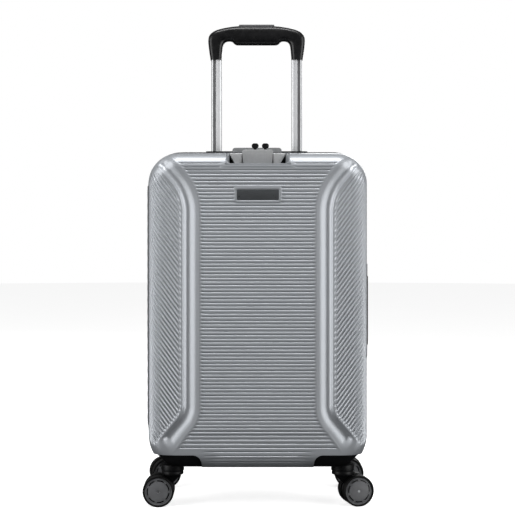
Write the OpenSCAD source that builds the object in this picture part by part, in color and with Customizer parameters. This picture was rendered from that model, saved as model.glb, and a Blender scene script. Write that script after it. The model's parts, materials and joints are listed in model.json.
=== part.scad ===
// Hard shell suitcase on four twin-wheel casters, with a telescopic handle and a top lock.
// X is right, Y is back and Z is up. The origin is on the floor, under the middle of the case.

/* [Shells] */
// Width of the shells
case_w = 361; // [350:1:372]
// Height of the shells
case_h = 508; // [500:1:520]
// Depth of one shell, from the zip to its flat face
half_d = 115; // [112:1:120]
// Height of the shells' underside over the floor
case_z = 62.5; // [61.5:0.5:64]
// Radius of the shells' four corners, seen from the front
corner_r = 55; // [48:1:60]
// Radius of the edge between the side walls and the flat face
edge_r = 24; // [18:1:28]
// How far the side walls lean in before that edge
draft = 6; // [3:1:8]
// Thickness of the shells
wall = 2.2; // [1.8:0.1:2.6]

/* [Casters] */
// Radius of the wheels
wheel_r = 25; // [23:0.5:25]
// Width of one wheel
wheel_w = 13; // [10:0.5:14]
// Distance from the swivel axis to the wheels' axle
trail = 22; // [18:1:24]
// Distance of the swivel axes from the middle, sideways
swivel_x = 136.5; // [132:0.5:138]
// Distance of the swivel axes from the zip
swivel_y = 78; // [74:1:80]
// Yaw of the front right and rear left casters at rest
caster_yaw = 13; // [0:1:20]

/* [Telescopic handle] */
// Distance of the tubes from the middle
tube_x = 69.5; // [66:0.5:72]
// Distance of the tubes from the zip
tube_y = 86; // [84:0.5:88]
// Width of the top tubes
tube_w = 18; // [16:0.5:19]
// Depth of the top tubes
tube_d = 12; // [10:0.5:13]
// Height of the grip's lower ends over the floor
grip_z = 737; // [730:1:745]
// How far the grip drops into its tray
grip_drop = 218; // [216:1:220]

/* [Carry handles] */
// Length of the top handle's grip
top_grip_l = 83; // [76:1:90]
// Length of the side handle's grip
side_grip_l = 118; // [100:1:124]
// How far the carry handles pull out
handle_travel = 12; // [8:1:13]

/* [Hidden] */

$fn = 48;
far = 1000;
// Gap between fixed pieces that sit beside each other
fit = 0.2;
// Radial clearance of turning shafts
turn_gap = 0.05;
case_top = case_z + case_h;
mid_z = case_z + case_h / 2;
half_w = case_w / 2;

// Colours
silver = "#a5aaaf";
black = "#1c1d1f";
dark = "#2b2c2e";
grey = "#8f9296";
aluminium = "#c9ccce";
cloth = "#3c4046";
hub_grey = "#5a5c5f";

// Zip
rim_y = 7;
teeth_y = 2.4;
teeth_gap = 0.2;
hinge_gap = 0.4;
tape_proud = 0.8;
tape_t = 3.4;
teeth_proud = 1.2;
teeth_t = 2.4;
teeth_end_x = half_w - corner_r - 5;
piping_r = 1;
hinge_x = half_w + tape_proud + 0.3 + piping_r;
slider_z = case_top + teeth_proud + 0.3;
left_slider_x = -3.3;
right_slider_x = 13.8;

// Wheel housings
housing_x = 89;
housing_y = 44;
housing_top = 86;
housing_r = 14;
housing_wall = 3;
housing_inset = 1.2;
boss_r = 18.5;
boss_low = 57.5;
pin_r = 4;
pin_top = 79;
post_r = 11;

// Casters
fork_top = 56.5;
fork_plate = 5.5;
web_t = 7;
wheel_gap = 2;
axle_r = 2.5;
tyre_t = 3.2;

// Telescopic handle
tube_wall = 1.4;
tube_gap = 0.15;
tube_r = 3;
step = 2 * (tube_wall + tube_gap);
top_low = 440;
top_in_grip = 15;
middle_low = 245;
foot_top = 80;
cup_floor = grip_z - grip_drop - 2;
cup_floor_t = 2;
middle_top = cup_floor - 1;
outer_top = cup_floor - cup_floor_t;
grip_half = 84.2;
grip_d = 22;
grip_top = 797;
button_top = 797.8;
button_half = 30.7;
button_d = 14.4;
button_h = 7.3;
button_gap = 0.3;
button_drop = 3;
cup_half_x = 85;
cup_half_y = 12;
cup_wall = 1.2;
rim_half_x = 87.6;
rim_half_y = 15.5;
rim_top = 578;
rim_t = 3;
panel_y = 70;

// Carry handles
top_handle_y = 32;
side_handle_y = 28;
side_handle_z = 307;
handle_w = 19;
mount_w = 22;
mount_d = 24;
mount_depth = 10;
post_w = 6;
post_d = 12;
foot_w = 10;
foot_t = 2;
post_gap = 0.3;
handle_room = mount_depth + handle_travel + foot_t + 1;
wall_slope = draft / (half_d - edge_r);
top_base = case_top - wall_slope * top_handle_y;
side_base = half_w - wall_slope * side_handle_y;
top_span = top_grip_l / 2 + 9;
side_span = side_grip_l / 2 + 9;

// Lock
notch_half = 51.5;
notch_low = 545;
notch_front = 112;
notch_back = 9;
lock_floor_t = 1.5;
body_half = 25;
body_front = 80;
body_back = 12;
body_top = 570.6;
dial_r = 7;
dial_w = 5;
dial_y = -30;
dial_z = body_top + 0.6 - dial_r;
dial_pitch = 8;
dial_x = -14;
dial_pin_r = 1.5;
latch_x = 12;
latch_y = -30;
latch_w = 9;
latch_d = 14;
latch_travel = 5;

// Lining and what is in it
lining_gap = 0.3;
lining_t = 1;
lining_rim = 8;
strap_w = 25;
strap_t = 1.5;
strap_y = 12;
buckle_w = 62;
buckle_h = 44;
buckle_t = 8;

// Points down the edge of a shell corner: leaning wall, then a rounded edge
edge_steps = 6;
function edge_profile(inset) =
    let (top = corner_r - draft - inset, r = edge_r - inset, d = half_d - inset)
    concat(
        [[0, 0], [corner_r - inset, 0]],
        [for (i = [0 : edge_steps])
            let (a = 90 * i / edge_steps)
            [top - r + r * cos(a), d - r + r * sin(a)]],
        [[0, d]]
    );

// Solid shape of the rear half, its faces drawn in by inset
module half_solid(inset) {
    hull()
        for (sx = [-1, 1], sz = [-1, 1])
            translate([sx * (half_w - corner_r), 0, mid_z + sz * (case_h / 2 - corner_r)])
                rotate([-90, 0, 0])
                    rotate_extrude()
                        polygon(edge_profile(inset));
}

// Outline of the case seen from the front, grown by grow
module case_outline(grow) {
    straight_x = half_w - corner_r;
    straight_z = case_h / 2 - corner_r;
    translate([0, mid_z]) {
        square([2 * straight_x, case_h + 2 * grow], center = true);
        square([case_w + 2 * grow, 2 * straight_z], center = true);
        for (sx = [-1, 1], sz = [-1, 1])
            translate([sx * straight_x, sz * straight_z])
                circle(corner_r + grow);
    }
}

// A flat shape drawn in X and Z, standing from y_low to y_high
module upright(y_low, y_high) {
    translate([0, y_high, 0])
        rotate([90, 0, 0])
            linear_extrude(y_high - y_low)
                children();
}

// A band round the case, from y_low to y_high
module case_band(proud, thick, y_low, y_high) {
    upright(y_low, y_high)
        difference() {
            case_outline(proud);
            case_outline(proud - thick);
        }
}

// Rectangle with round corners, centred
module round_rect(w, d, r) {
    square([w - 2 * r, d], center = true);
    square([w, d - 2 * r], center = true);
    for (sx = [-1, 1], sy = [-1, 1])
        translate([sx * (w / 2 - r), sy * (d / 2 - r)])
            circle(r);
}

// Box between two corners
module span_box(low, high) {
    translate(low)
        cube(high - low);
}

// The corner block that a wheel housing fills, on the right of the rear half
module housing_room(grow) {
    h = housing_top + grow;
    r = housing_r + grow;
    upright(housing_y - grow, half_d + 1)
        translate([housing_x - grow, 0]) {
            translate([r, 0])
                square([2 * corner_r + 20, h]);
            square([2 * r, h - r]);
            translate([r, h - r])
                circle(r);
        }
}

// Places a piece made for the rear right corner at one of the four corners
module at_corner(side, end) {
    mirror([side < 0 ? 1 : 0, 0, 0])
        mirror([0, end < 0 ? 1 : 0, 0])
            children();
}

// What both shells share: the wall, open at the rim and at the two housings
module shell_wall() {
    difference() {
        half_solid(0);
        half_solid(wall);
        span_box([-far, -1, 0], [far, rim_y, far]);
        for (side = [-1, 1])
            at_corner(side, 1)
                housing_room(fit);
    }
}

// Moves a carry handle from its own frame to the top of the rear shell
module at_top_handle() {
    translate([0, top_handle_y, top_base])
        children();
}

// Moves a carry handle from its own frame to the right side of the rear shell
module at_side_handle() {
    translate([side_base, side_handle_y, side_handle_z])
        rotate([0, 90, 0])
            children();
}

// Openings for a carry handle's two mounts
module mount_openings(span) {
    for (s = [-1, 1])
        span_box(
            [s * span - mount_w / 2 - fit, -mount_d / 2 - fit, -mount_depth],
            [s * span + mount_w / 2 + fit, mount_d / 2 + fit, mount_depth]
        );
}

// Room under the lining for a carry handle's posts
module handle_cover(span, grow) {
    side = span + mount_w / 2 + 1 + grow;
    deep = mount_d / 2 + 1 + grow;
    span_box([-side, -deep, -handle_room - grow], [side, deep, mount_depth]);
}

// ---- Rear half ----

module rear_shell() {
    color(silver)
        difference() {
            shell_wall();
            span_box(
                [-cup_half_x - cup_wall - fit, tube_y - cup_half_y - cup_wall - fit, mid_z],
                [cup_half_x + cup_wall + fit, tube_y + cup_half_y + cup_wall + fit, far]
            );
            at_top_handle()
                mount_openings(top_span);
            at_side_handle()
                mount_openings(side_span);
        }
}

// The tape fills the gap between rim and teeth; down the hinge side it reaches the fold
module zip_tape() {
    color(dark) {
        case_band(tape_proud, tape_t, teeth_y, rim_y);
        intersection() {
            case_band(tape_proud, tape_t, hinge_gap, teeth_y);
            span_box([-far, 0, 0], [-teeth_end_x - fit, rim_y, far]);
        }
    }
}

module zip_teeth() {
    color(black)
        difference() {
            case_band(teeth_proud, teeth_t, teeth_gap, teeth_y);
            span_box([-far, 0, 0], [-teeth_end_x, rim_y, far]);
        }
}

module rear_zip_tape() {
    zip_tape();
}

module rear_zip_teeth() {
    zip_teeth();
}

module hinge_piping() {
    straight = case_h - 2 * corner_r;
    color(black)
        translate([-hinge_x, 0, mid_z - straight / 2]) {
            cylinder(r = piping_r, h = straight);
            translate([0, hinge_gap, 0])
                cube([hinge_x - half_w - tape_proud, 0.5, straight]);
        }
}

module rear_lining() {
    color(cloth)
        difference() {
            half_solid(wall + lining_gap);
            difference() {
                half_solid(wall + lining_gap + lining_t);
                lining_covers(lining_t);
                span_box([-far, panel_y - lining_t, 0], [far, far, far]);
            }
            lining_covers(0);
            span_box([-far, panel_y, 0], [far, far, far]);
            span_box([-far, -1, 0], [far, lining_rim, far]);
        }
}

// Covers over the carry handles' posts and over the wheel housings
module lining_covers(grow) {
    at_top_handle()
        handle_cover(top_span, grow);
    at_side_handle()
        handle_cover(side_span, grow);
    for (side = [-1, 1])
        at_corner(side, 1)
            housing_room(1 + grow);
}

// Two elastic straps that cross in front of the packed clothes
module packing_straps() {
    color(black)
        intersection() {
            half_solid(wall + lining_gap + lining_t);
            difference() {
                for (s = [-1, 1])
                    translate([0, strap_y + (s + 1) / 2 * (strap_t + 0.1), mid_z])
                        rotate([0, s * 55, 0])
                            translate([-half_w * 2, 0, -strap_w / 2])
                                cube([half_w * 4, strap_t, strap_w]);
                buckle_block();
                lining_covers(lining_t + fit);
            }
        }
}

module buckle_block() {
    upright(strap_y - 2, strap_y - 2 + buckle_t)
        translate([0, mid_z])
            round_rect(buckle_w, buckle_h, 8);
}

module strap_buckle() {
    color(black)
        buckle_block();
}

module handle_tray() {
    cup_depth = rim_top - cup_floor;
    color(black)
        difference() {
            translate([0, tube_y, 0]) {
                translate([0, 0, outer_top])
                    linear_extrude(rim_top - outer_top)
                        round_rect(2 * (cup_half_x + cup_wall), 2 * (cup_half_y + cup_wall), 4);
                translate([0, 0, rim_top - rim_t])
                    linear_extrude(rim_t)
                        round_rect(2 * rim_half_x, 2 * rim_half_y, 6);
            }
            translate([0, tube_y, cup_floor])
                linear_extrude(cup_depth + 1)
                    round_rect(2 * cup_half_x, 2 * cup_half_y, 3);
            at_tubes(outer_top - 1, cup_floor + 1)
                tube_shape(step + 2 * tube_gap);
        }
}

// Section of a top tube, grown all round to the size of the stages outside it
module tube_shape(grow) {
    round_rect(tube_w + grow, tube_d + grow, tube_r + grow / 2);
}

// Extrudes a section at both tubes
module at_tubes(low, high) {
    for (side = [-1, 1])
        translate([side * tube_x, tube_y, low])
            linear_extrude(high - low)
                children();
}

module outer_tubes() {
    color(aluminium)
        at_tubes(foot_top, outer_top)
            difference() {
                tube_shape(2 * step);
                tube_shape(2 * step - 2 * tube_wall);
            }
}

// Block that holds the outer tubes' lower ends on the floor of the rear shell
module tube_foot() {
    color(dark)
        intersection() {
            half_solid(wall);
            span_box([-housing_x + 5, panel_y + 2, case_z], [housing_x - 5, half_d, foot_top]);
        }
}

// A handle's two mounts, with the holes that its posts slide in
module handle_mounts(span) {
    color(black)
        for (s = [-1, 1])
            translate([s * span, 0, 0])
                difference() {
                    span_box(
                        [-mount_w / 2, -mount_d / 2, -mount_depth],
                        [mount_w / 2, mount_d / 2, 1.5]
                    );
                    cube([post_w + post_gap, post_d + post_gap, 4 * mount_depth], center = true);
                }
}

module top_handle_mounts() {
    at_top_handle()
        handle_mounts(top_span);
}

module side_handle_mounts() {
    at_side_handle()
        handle_mounts(side_span);
}

// Black housing in a lower corner, made for the rear right, with the bore for a swivel pin
module housing(side, end) {
    color(black)
        at_corner(side, end)
            difference() {
                union() {
                    intersection() {
                        half_solid(housing_inset);
                        housing_room(0);
                    }
                    translate([swivel_x, swivel_y, boss_low])
                        cylinder(r = boss_r, h = 14);
                }
                difference() {
                    span_box(
                        [housing_x + housing_wall, housing_y + housing_wall, 0],
                        [half_w - 25, half_d - 25, housing_top - housing_wall]
                    );
                    translate([swivel_x, swivel_y, 0])
                        cylinder(r = boss_r, h = far);
                }
                translate([swivel_x, swivel_y, 0])
                    cylinder(r = pin_r + turn_gap, h = pin_top + 1);
            }
}

// ---- Front half ----

// The top corner that the lock takes out of the front half
module lock_notch(grow) {
    span_box(
        [-notch_half - grow, -half_d - 1, notch_low - grow],
        [notch_half + grow, -notch_back + grow, far]
    );
}

module front_shell() {
    color(silver)
        difference() {
            mirror([0, 1, 0])
                shell_wall();
            lock_notch(fit);
            upright(-half_d - 1, -half_d + plate_t + 0.05)
                translate([0, plate_z])
                    round_rect(plate_w + fit, plate_h + fit, plate_r);
        }
}

module front_zip_tape() {
    mirror([0, 1, 0])
        zip_tape();
}

module front_zip_teeth() {
    mirror([0, 1, 0])
        zip_teeth();
}

// Blank nameplate
plate_w = 67;
plate_h = 17;
plate_r = 3;
plate_t = 1.4;
plate_z = 497.5;

module nameplate() {
    color(dark)
        upright(-half_d, -half_d + plate_t)
            translate([0, plate_z])
                round_rect(plate_w, plate_h, plate_r);
}

// Grey tray in the notch: a floor, and raised shoulders on both sides of the lock body
module lock_base() {
    shoulder_wide = 45;
    shoulder_narrow = 34;
    shoulder_z = 563;
    color(grey)
        difference() {
            intersection() {
                mirror([0, 1, 0])
                    half_solid(0.4);
                union() {
                    span_box(
                        [-notch_half, -notch_front, notch_low],
                        [notch_half, -notch_back, notch_low + lock_floor_t]
                    );
                    upright(-body_front + 15, -notch_back)
                        polygon([
                            [-shoulder_narrow, notch_low],
                            [shoulder_narrow, notch_low],
                            [shoulder_wide, shoulder_z],
                            [shoulder_wide, far],
                            [-shoulder_wide, far],
                            [-shoulder_wide, shoulder_z]
                        ]);
                }
            }
            span_box(
                [-body_half - fit, -body_front - fit, notch_low + lock_floor_t],
                [body_half + fit, -body_back + fit, far]
            );
        }
}

// Place of one number dial
module at_dial(i) {
    translate([dial_x + i * dial_pitch, dial_y, dial_z])
        rotate([0, 90, 0])
            children();
}

module lock_body() {
    corner = 4;
    low = notch_low + lock_floor_t;
    color(grey)
        difference() {
            upright(-body_front, -body_back) {
                translate([-body_half, low])
                    square([2 * body_half, body_top - low - corner]);
                translate([-body_half + corner, low])
                    square([2 * body_half - 2 * corner, body_top - low]);
                for (s = [-1, 1])
                    translate([s * (body_half - corner), body_top - corner])
                        circle(corner);
            }
            for (i = [0 : 2])
                at_dial(i)
                    difference() {
                        cylinder(r = dial_r + 0.4, h = dial_w + 0.6, center = true);
                        cylinder(r = dial_pin_r, h = 2 * dial_w, center = true);
                    }
            translate([latch_x, latch_y, body_top - 2])
                span_box([-latch_w / 2 - 0.3, -latch_d / 2 - latch_travel - 0.3, 0],
                    [latch_w / 2 + 0.3, latch_d / 2 + 0.3, 3]);
        }
}

module lock_dial(i) {
    color(black)
        at_dial(i)
            difference() {
                cylinder(r = dial_r, h = dial_w, center = true);
                cylinder(r = dial_pin_r + turn_gap, h = 2 * dial_w, center = true);
            }
}

module lock_latch() {
    color(dark)
        translate([latch_x, latch_y, body_top - 1.9])
            span_box([-latch_w / 2, -latch_d / 2, 0], [latch_w / 2, latch_d / 2, 2.4]);
}

module front_covers(grow) {
    lock_notch(1 + grow);
    for (side = [-1, 1])
        at_corner(side, -1)
            housing_room(1 + grow);
}

module front_lining() {
    color(cloth)
        difference() {
            mirror([0, 1, 0])
                half_solid(wall + lining_gap);
            difference() {
                mirror([0, 1, 0])
                    half_solid(wall + lining_gap + lining_t);
                front_covers(lining_t);
            }
            front_covers(0);
            span_box([-far, -lining_rim, 0], [far, 1, far]);
        }
}

// Flat pocket on the front lining, open in a slit along its top
module front_pocket() {
    back = -(half_d - wall - lining_gap - lining_t);
    thick = 5;
    skin = 1.2;
    w = 270;
    low = 110;
    high = 480;
    color(black)
        difference() {
            upright(back, back + thick)
                translate([0, (low + high) / 2])
                    round_rect(w, high - low, 12);
            upright(back + skin, back + thick - skin)
                translate([0, (low + high) / 2])
                    round_rect(w - 2 * skin, high - low - 2 * skin, 11);
            span_box([-w / 2 + 15, back + skin, high - 20], [w / 2 - 15, back + thick + 1, high - 14]);
        }
}

// ---- Telescopic handle ----

module middle_tubes() {
    color(aluminium)
        at_tubes(middle_low, middle_top)
            difference() {
                tube_shape(step);
                tube_shape(step - 2 * tube_wall);
            }
}

module top_tubes() {
    color(aluminium)
        at_tubes(top_low, grip_z + top_in_grip)
            difference() {
                tube_shape(0);
                tube_shape(-2 * tube_wall);
            }
}

module grip() {
    leg_out = 80;
    leg_in = 60.3;
    arch_r = 22;
    arch_z = 771;
    window_r = 9;
    window_top = 769.5;
    block_half = 40;
    block_low = 762.7;
    color(black)
        difference() {
            upright(tube_y - grip_d / 2, tube_y + grip_d / 2)
                difference() {
                    hull() {
                        for (s = [-1, 1])
                            translate([s * (grip_half - arch_r), arch_z])
                                circle(arch_r);
                        translate([-button_half, grip_top - 2])
                            square([2 * button_half, 1]);
                        translate([-leg_out, grip_z])
                            square([2 * leg_out, 1]);
                    }
                    difference() {
                        hull() {
                            for (s = [-1, 1])
                                translate([s * (leg_in - 2 - window_r), window_top - window_r])
                                    circle(window_r);
                            translate([-leg_in, grip_z - 1])
                                square([2 * leg_in, 1]);
                        }
                        translate([-block_half, block_low])
                            square([2 * block_half, arch_r]);
                    }
                }
            translate([0, tube_y, button_top - button_h - button_drop - 1])
                linear_extrude(far)
                    round_rect(2 * (button_half + button_gap), button_d + 2 * button_gap, 3);
            at_tubes(grip_z - 1, grip_z + top_in_grip)
                tube_shape(0);
        }
}

module release_button() {
    color(dark)
        translate([0, tube_y, button_top - button_h])
            linear_extrude(button_h)
                round_rect(2 * button_half, button_d, 3);
}

// ---- Carry handles ----

// A sprung handle in its own frame: it lies along X and pulls out along Z
module carry_handle(grip_l, span, low, high) {
    r = (high - low) / 2 - 0.1;
    arm_low = 1.8;
    arm_high = 3.6;
    upright(-handle_w / 2, handle_w / 2)
        translate([0, (low + high) / 2])
            round_rect(grip_l, high - low, r);
    span_box([-span - post_w / 2, -post_d / 2, arm_low], [span + post_w / 2, post_d / 2, arm_high]);
    for (s = [-1, 1])
        translate([s * span, 0, 0]) {
            span_box(
                [-post_w / 2, -post_d / 2, -mount_depth - handle_travel],
                [post_w / 2, post_d / 2, arm_high]
            );
            span_box(
                [-foot_w / 2, -post_d / 2, -mount_depth - handle_travel - foot_t],
                [foot_w / 2, post_d / 2, -mount_depth - handle_travel]
            );
        }
}

module top_handle() {
    color(grey)
        at_top_handle()
            carry_handle(top_grip_l, top_span, 2.4, 12.4);
}

module side_handle() {
    color(black)
        at_side_handle()
            carry_handle(side_grip_l, side_span, 1.8, 8);
}

// ---- Zip sliders ----

module zip_slider(x) {
    head_w = 11.6;
    head_h = 8.4;
    head_z = 586.4;
    color(black)
        translate([x, 0, 0]) {
            translate([0, 0, slider_z])
                linear_extrude(3.5)
                    round_rect(13, 7, 2);
            span_box([-2.5, -1.5, slider_z + 3.5], [2.5, 1.5, head_z - head_h / 2]);
            upright(-2.5, 2.5)
                translate([0, head_z - head_h / 2])
                    round_rect(head_w, head_h, 4);
        }
}

// ---- Casters ----

// Puts a caster's piece at its corner; in its own frame the wheels trail along +X
module at_caster(side, end) {
    yaw = side * end < 0 ? caster_yaw : 0;
    translate([side * swivel_x, end * swivel_y, 0])
        rotate([0, 0, (side < 0 ? 180 : 0) + yaw])
            children();
}

// Puts a round piece on the caster's axle, its own Z along the axle
module on_axle() {
    translate([trail, 0, wheel_r])
        rotate([90, 0, 0])
            children();
}

module fork(side, end) {
    neck = 14;
    color(black)
        at_caster(side, end)
            difference() {
                union() {
                    translate([0, 0, fork_top - fork_plate])
                        cylinder(r = boss_r - 1, h = fork_plate);
                    cylinder_from(fork_top - 1, pin_top, pin_r);
                    hull() {
                        on_axle()
                            cylinder(r = neck / 2, h = web_t, center = true);
                        span_box(
                            [-boss_r + 3, -web_t / 2, fork_top - fork_plate],
                            [boss_r - 6, web_t / 2, fork_top - fork_plate + 1]
                        );
                    }
                }
                on_axle()
                    cylinder(r = axle_r, h = 2 * web_t, center = true);
            }
}

module cylinder_from(low, high, r) {
    translate([0, 0, low])
        cylinder(r = r, h = high - low);
}

module axle(side, end) {
    length = web_t + 2 * (wheel_gap + wheel_w) - 2;
    color(aluminium)
        at_caster(side, end)
            on_axle()
                cylinder(r = axle_r, h = length, center = true);
}

// Puts a piece at the middle of one of a caster's two wheels
module at_wheel(side, end, which) {
    at_caster(side, end)
        on_axle()
            translate([0, 0, which * (web_t / 2 + wheel_gap + wheel_w / 2)])
                children();
}

module hub(side, end, which) {
    rim_r = wheel_r - tyre_t;
    color(hub_grey)
        at_wheel(side, end, which)
            difference() {
                cylinder(r = rim_r, h = wheel_w - 1, center = true);
                cylinder(r = axle_r + turn_gap, h = 2 * wheel_w, center = true);
            }
}

module tyre(side, end, which) {
    round = 2;
    color(black)
        at_wheel(side, end, which)
            rotate_extrude()
                polygon([
                    [wheel_r - tyre_t, -wheel_w / 2],
                    [wheel_r - round, -wheel_w / 2],
                    [wheel_r, -wheel_w / 2 + round],
                    [wheel_r, wheel_w / 2 - round],
                    [wheel_r - round, wheel_w / 2],
                    [wheel_r - tyre_t, wheel_w / 2]
                ]);
}

// All the pieces of the caster whose nodes start with name
module caster(name, side, end) {
    fork(side, end);
    axle(side, end);
    hub(side, end, 1);
    tyre(side, end, 1);
    hub(side, end, -1);
    tyre(side, end, -1);
}

rear_shell();
rear_zip_tape();
rear_zip_teeth();
hinge_piping();
rear_lining();
packing_straps();
strap_buckle();
handle_tray();
outer_tubes();
tube_foot();
top_handle_mounts();
side_handle_mounts();
housing(-1, 1);  // rear_left_housing
housing(1, 1);  // rear_right_housing
front_shell();
front_zip_tape();
front_zip_teeth();
nameplate();
lock_base();
lock_body();
front_lining();
front_pocket();
housing(-1, -1);  // front_left_housing
housing(1, -1);  // front_right_housing
middle_tubes();
top_tubes();
grip();
release_button();
top_handle();
side_handle();
zip_slider(left_slider_x);  // left_zip_slider
zip_slider(right_slider_x);  // right_zip_slider
lock_dial(0);  // lock_dial_1
lock_dial(1);  // lock_dial_2
lock_dial(2);  // lock_dial_3
lock_latch();
caster("front_left", -1, -1);
caster("front_right", 1, -1);
caster("rear_left", -1, 1);
caster("rear_right", 1, 1);
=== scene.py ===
# Hard shell suitcase: ribbed shells, casters, telescopic handle, lock and lining round the CAD frame.
import json
from math import atan2, cos, hypot, pi, radians, sin, tan
import bmesh
import bpy
import numpy as np
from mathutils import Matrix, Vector


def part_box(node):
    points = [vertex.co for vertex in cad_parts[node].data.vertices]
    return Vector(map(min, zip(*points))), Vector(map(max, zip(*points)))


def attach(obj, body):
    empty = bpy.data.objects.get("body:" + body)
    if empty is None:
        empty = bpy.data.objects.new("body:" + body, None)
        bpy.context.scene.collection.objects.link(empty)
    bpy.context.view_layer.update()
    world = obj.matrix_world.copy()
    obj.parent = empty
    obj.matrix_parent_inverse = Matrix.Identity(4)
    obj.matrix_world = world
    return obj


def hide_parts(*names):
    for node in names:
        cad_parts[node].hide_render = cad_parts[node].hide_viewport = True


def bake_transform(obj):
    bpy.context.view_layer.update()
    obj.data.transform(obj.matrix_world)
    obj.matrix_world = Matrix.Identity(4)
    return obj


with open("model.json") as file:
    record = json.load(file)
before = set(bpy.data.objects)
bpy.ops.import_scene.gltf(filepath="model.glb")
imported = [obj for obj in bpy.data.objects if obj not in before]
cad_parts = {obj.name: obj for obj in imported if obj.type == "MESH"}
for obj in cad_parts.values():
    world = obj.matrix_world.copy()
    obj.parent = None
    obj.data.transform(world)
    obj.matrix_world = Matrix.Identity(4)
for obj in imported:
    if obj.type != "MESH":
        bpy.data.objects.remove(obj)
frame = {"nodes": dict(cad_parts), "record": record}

MM = 0.001
scene = bpy.context.scene
nodes = frame["nodes"]
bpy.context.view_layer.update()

# ---------------------------------------------------------------- sizes, from the frame

front_low, front_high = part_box("front_shell")
tape_low, tape_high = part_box("front_zip_tape")
HALF_DEPTH = -front_low[1]            # from the zip to a shell's flat face
RIM = -front_high[1]                  # from the zip to a shell's rim
TAPE_PROUD = 0.8 * MM
HALF_W = tape_high[0] - TAPE_PROUD    # outline of the case at the zip
HALF_H = (tape_high[2] - tape_low[2]) / 2 - TAPE_PROUD
MID_Z = (tape_high[2] + tape_low[2]) / 2
CORNER = 55 * MM                      # radius of the outline's corners
EDGE = 24 * MM                        # radius of the edge round the flat face
DRAFT = 6 * MM                        # how far the side walls lean in
WALL = 2.2 * MM
CORE_DROP = 6 * MM                    # from the flat face to the inner skin, below the flutes
FLAT = CORNER - DRAFT - EDGE          # flat margin between the corner centres and the edge
CORE_X = HALF_W - CORNER
CORE_Z = HALF_H - CORNER


# ---------------------------------------------------------------- small helpers

def smooth(x, low, high):
    """0 below low, 1 above high, and a soft step between them."""
    t = np.clip((x - low) / (high - low), 0, 1)
    return t * t * (3 - 2 * t)


def add_object(name, data):
    """A new object in the scene."""
    made = bpy.data.objects.new(name, data)
    scene.collection.objects.link(made)
    return made


def new_object(name, vertices, faces, material, body, smooth_angle=40):
    """A mesh piece that rides on a body and takes the given finish."""
    mesh = bpy.data.meshes.new(name)
    mesh.from_pydata([tuple(v) for v in vertices], [], [tuple(f) for f in faces])
    mesh.validate()
    piece = add_object(name, mesh)
    finish_piece(piece, material, body, smooth_angle)
    return piece


def finish_piece(piece, material, body, smooth_angle=40):
    """Smooth shading and material of a piece, and its body if it has just one."""
    mesh = piece.data
    mesh.polygons.foreach_set("use_smooth", np.ones(len(mesh.polygons), dtype=bool))
    mesh.set_sharp_from_angle(angle=radians(smooth_angle))
    mesh.materials.clear()
    mesh.materials.append(material)
    if body:
        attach(piece, body)


def closed_object(name, bm):
    """An object from a bmesh, with its faces turned outwards."""
    mesh = bpy.data.meshes.new(name)
    bmesh.ops.recalc_face_normals(bm, faces=bm.faces)
    bm.to_mesh(mesh)
    bm.free()
    return add_object(name, mesh)


def from_bmesh(name, bm, material, body, smooth_angle=40):
    """A piece from a bmesh."""
    piece = closed_object(name, bm)
    finish_piece(piece, material, body, smooth_angle)
    return piece


def apply_modifiers(piece):
    """Bakes a piece's modifiers into its mesh."""
    graph = bpy.context.evaluated_depsgraph_get()
    mesh = bpy.data.meshes.new_from_object(piece.evaluated_get(graph))
    piece.modifiers.clear()
    piece.data = mesh


def thicken(piece, thickness, material, body, offset=-1, smooth_angle=60):
    """Gives a sheet its thickness, and finishes it again."""
    thick = piece.modifiers.new("thick", "SOLIDIFY")
    thick.thickness = thickness
    thick.offset = offset
    apply_modifiers(piece)
    finish_piece(piece, material, body, smooth_angle)


def bridge(bm, rings, closed=True, capped=False):
    """Faces from each ring of points to the next. closed joins a ring's end to its start."""
    for ring, after in zip(rings, rings[1:]):
        for k in range(len(ring) if closed else len(ring) - 1):
            j = (k + 1) % len(ring)
            bm.faces.new((ring[k], ring[j], after[j], after[k]))
    if capped:
        bm.faces.new(rings[0])
        bm.faces.new(rings[-1])


def grid_faces(grid):
    """Four-cornered faces over a grid of point numbers."""
    return np.stack([grid[:-1, :-1], grid[:-1, 1:], grid[1:, 1:], grid[1:, :-1]], axis=2).reshape(-1, 4)


def ring_faces(index):
    """Four-cornered faces over rows of point numbers that close up, last row to first."""
    after = np.roll(index, -1, axis=0)
    return np.stack([index[:, :-1], index[:, 1:], after[:, 1:], after[:, :-1]], axis=2).reshape(-1, 4)


def box_mesh(low, high):
    """A box as a bmesh."""
    bm = bmesh.new()
    bmesh.ops.create_cube(bm, size=1)
    for v in bm.verts:
        v.co = Vector([(a + b) / 2 + c * (b - a) for a, b, c in zip(low, high, v.co)])
    return bm


def cut(piece, cutters):
    """Takes the cutters out of a closed piece."""
    for cutter in cutters:
        step = piece.modifiers.new("cut", "BOOLEAN")
        step.operation = "DIFFERENCE"
        step.solver = "MANIFOLD"
        step.object = cutter
    apply_modifiers(piece)
    for cutter in cutters:
        bpy.data.objects.remove(cutter)


# ---------------------------------------------------------------- materials

def add_node(tree, kind, inputs, **settings):
    """A new shader node. An input is set to its value, or linked if the value is a socket."""
    made = tree.nodes.new(f"ShaderNode{kind}")
    for key, value in settings.items():
        setattr(made, key, value)
    for key, value in inputs.items():
        if isinstance(value, bpy.types.NodeSocket):
            tree.links.new(value, made.inputs[key])
        else:
            made.inputs[key].default_value = value
    return made


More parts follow.
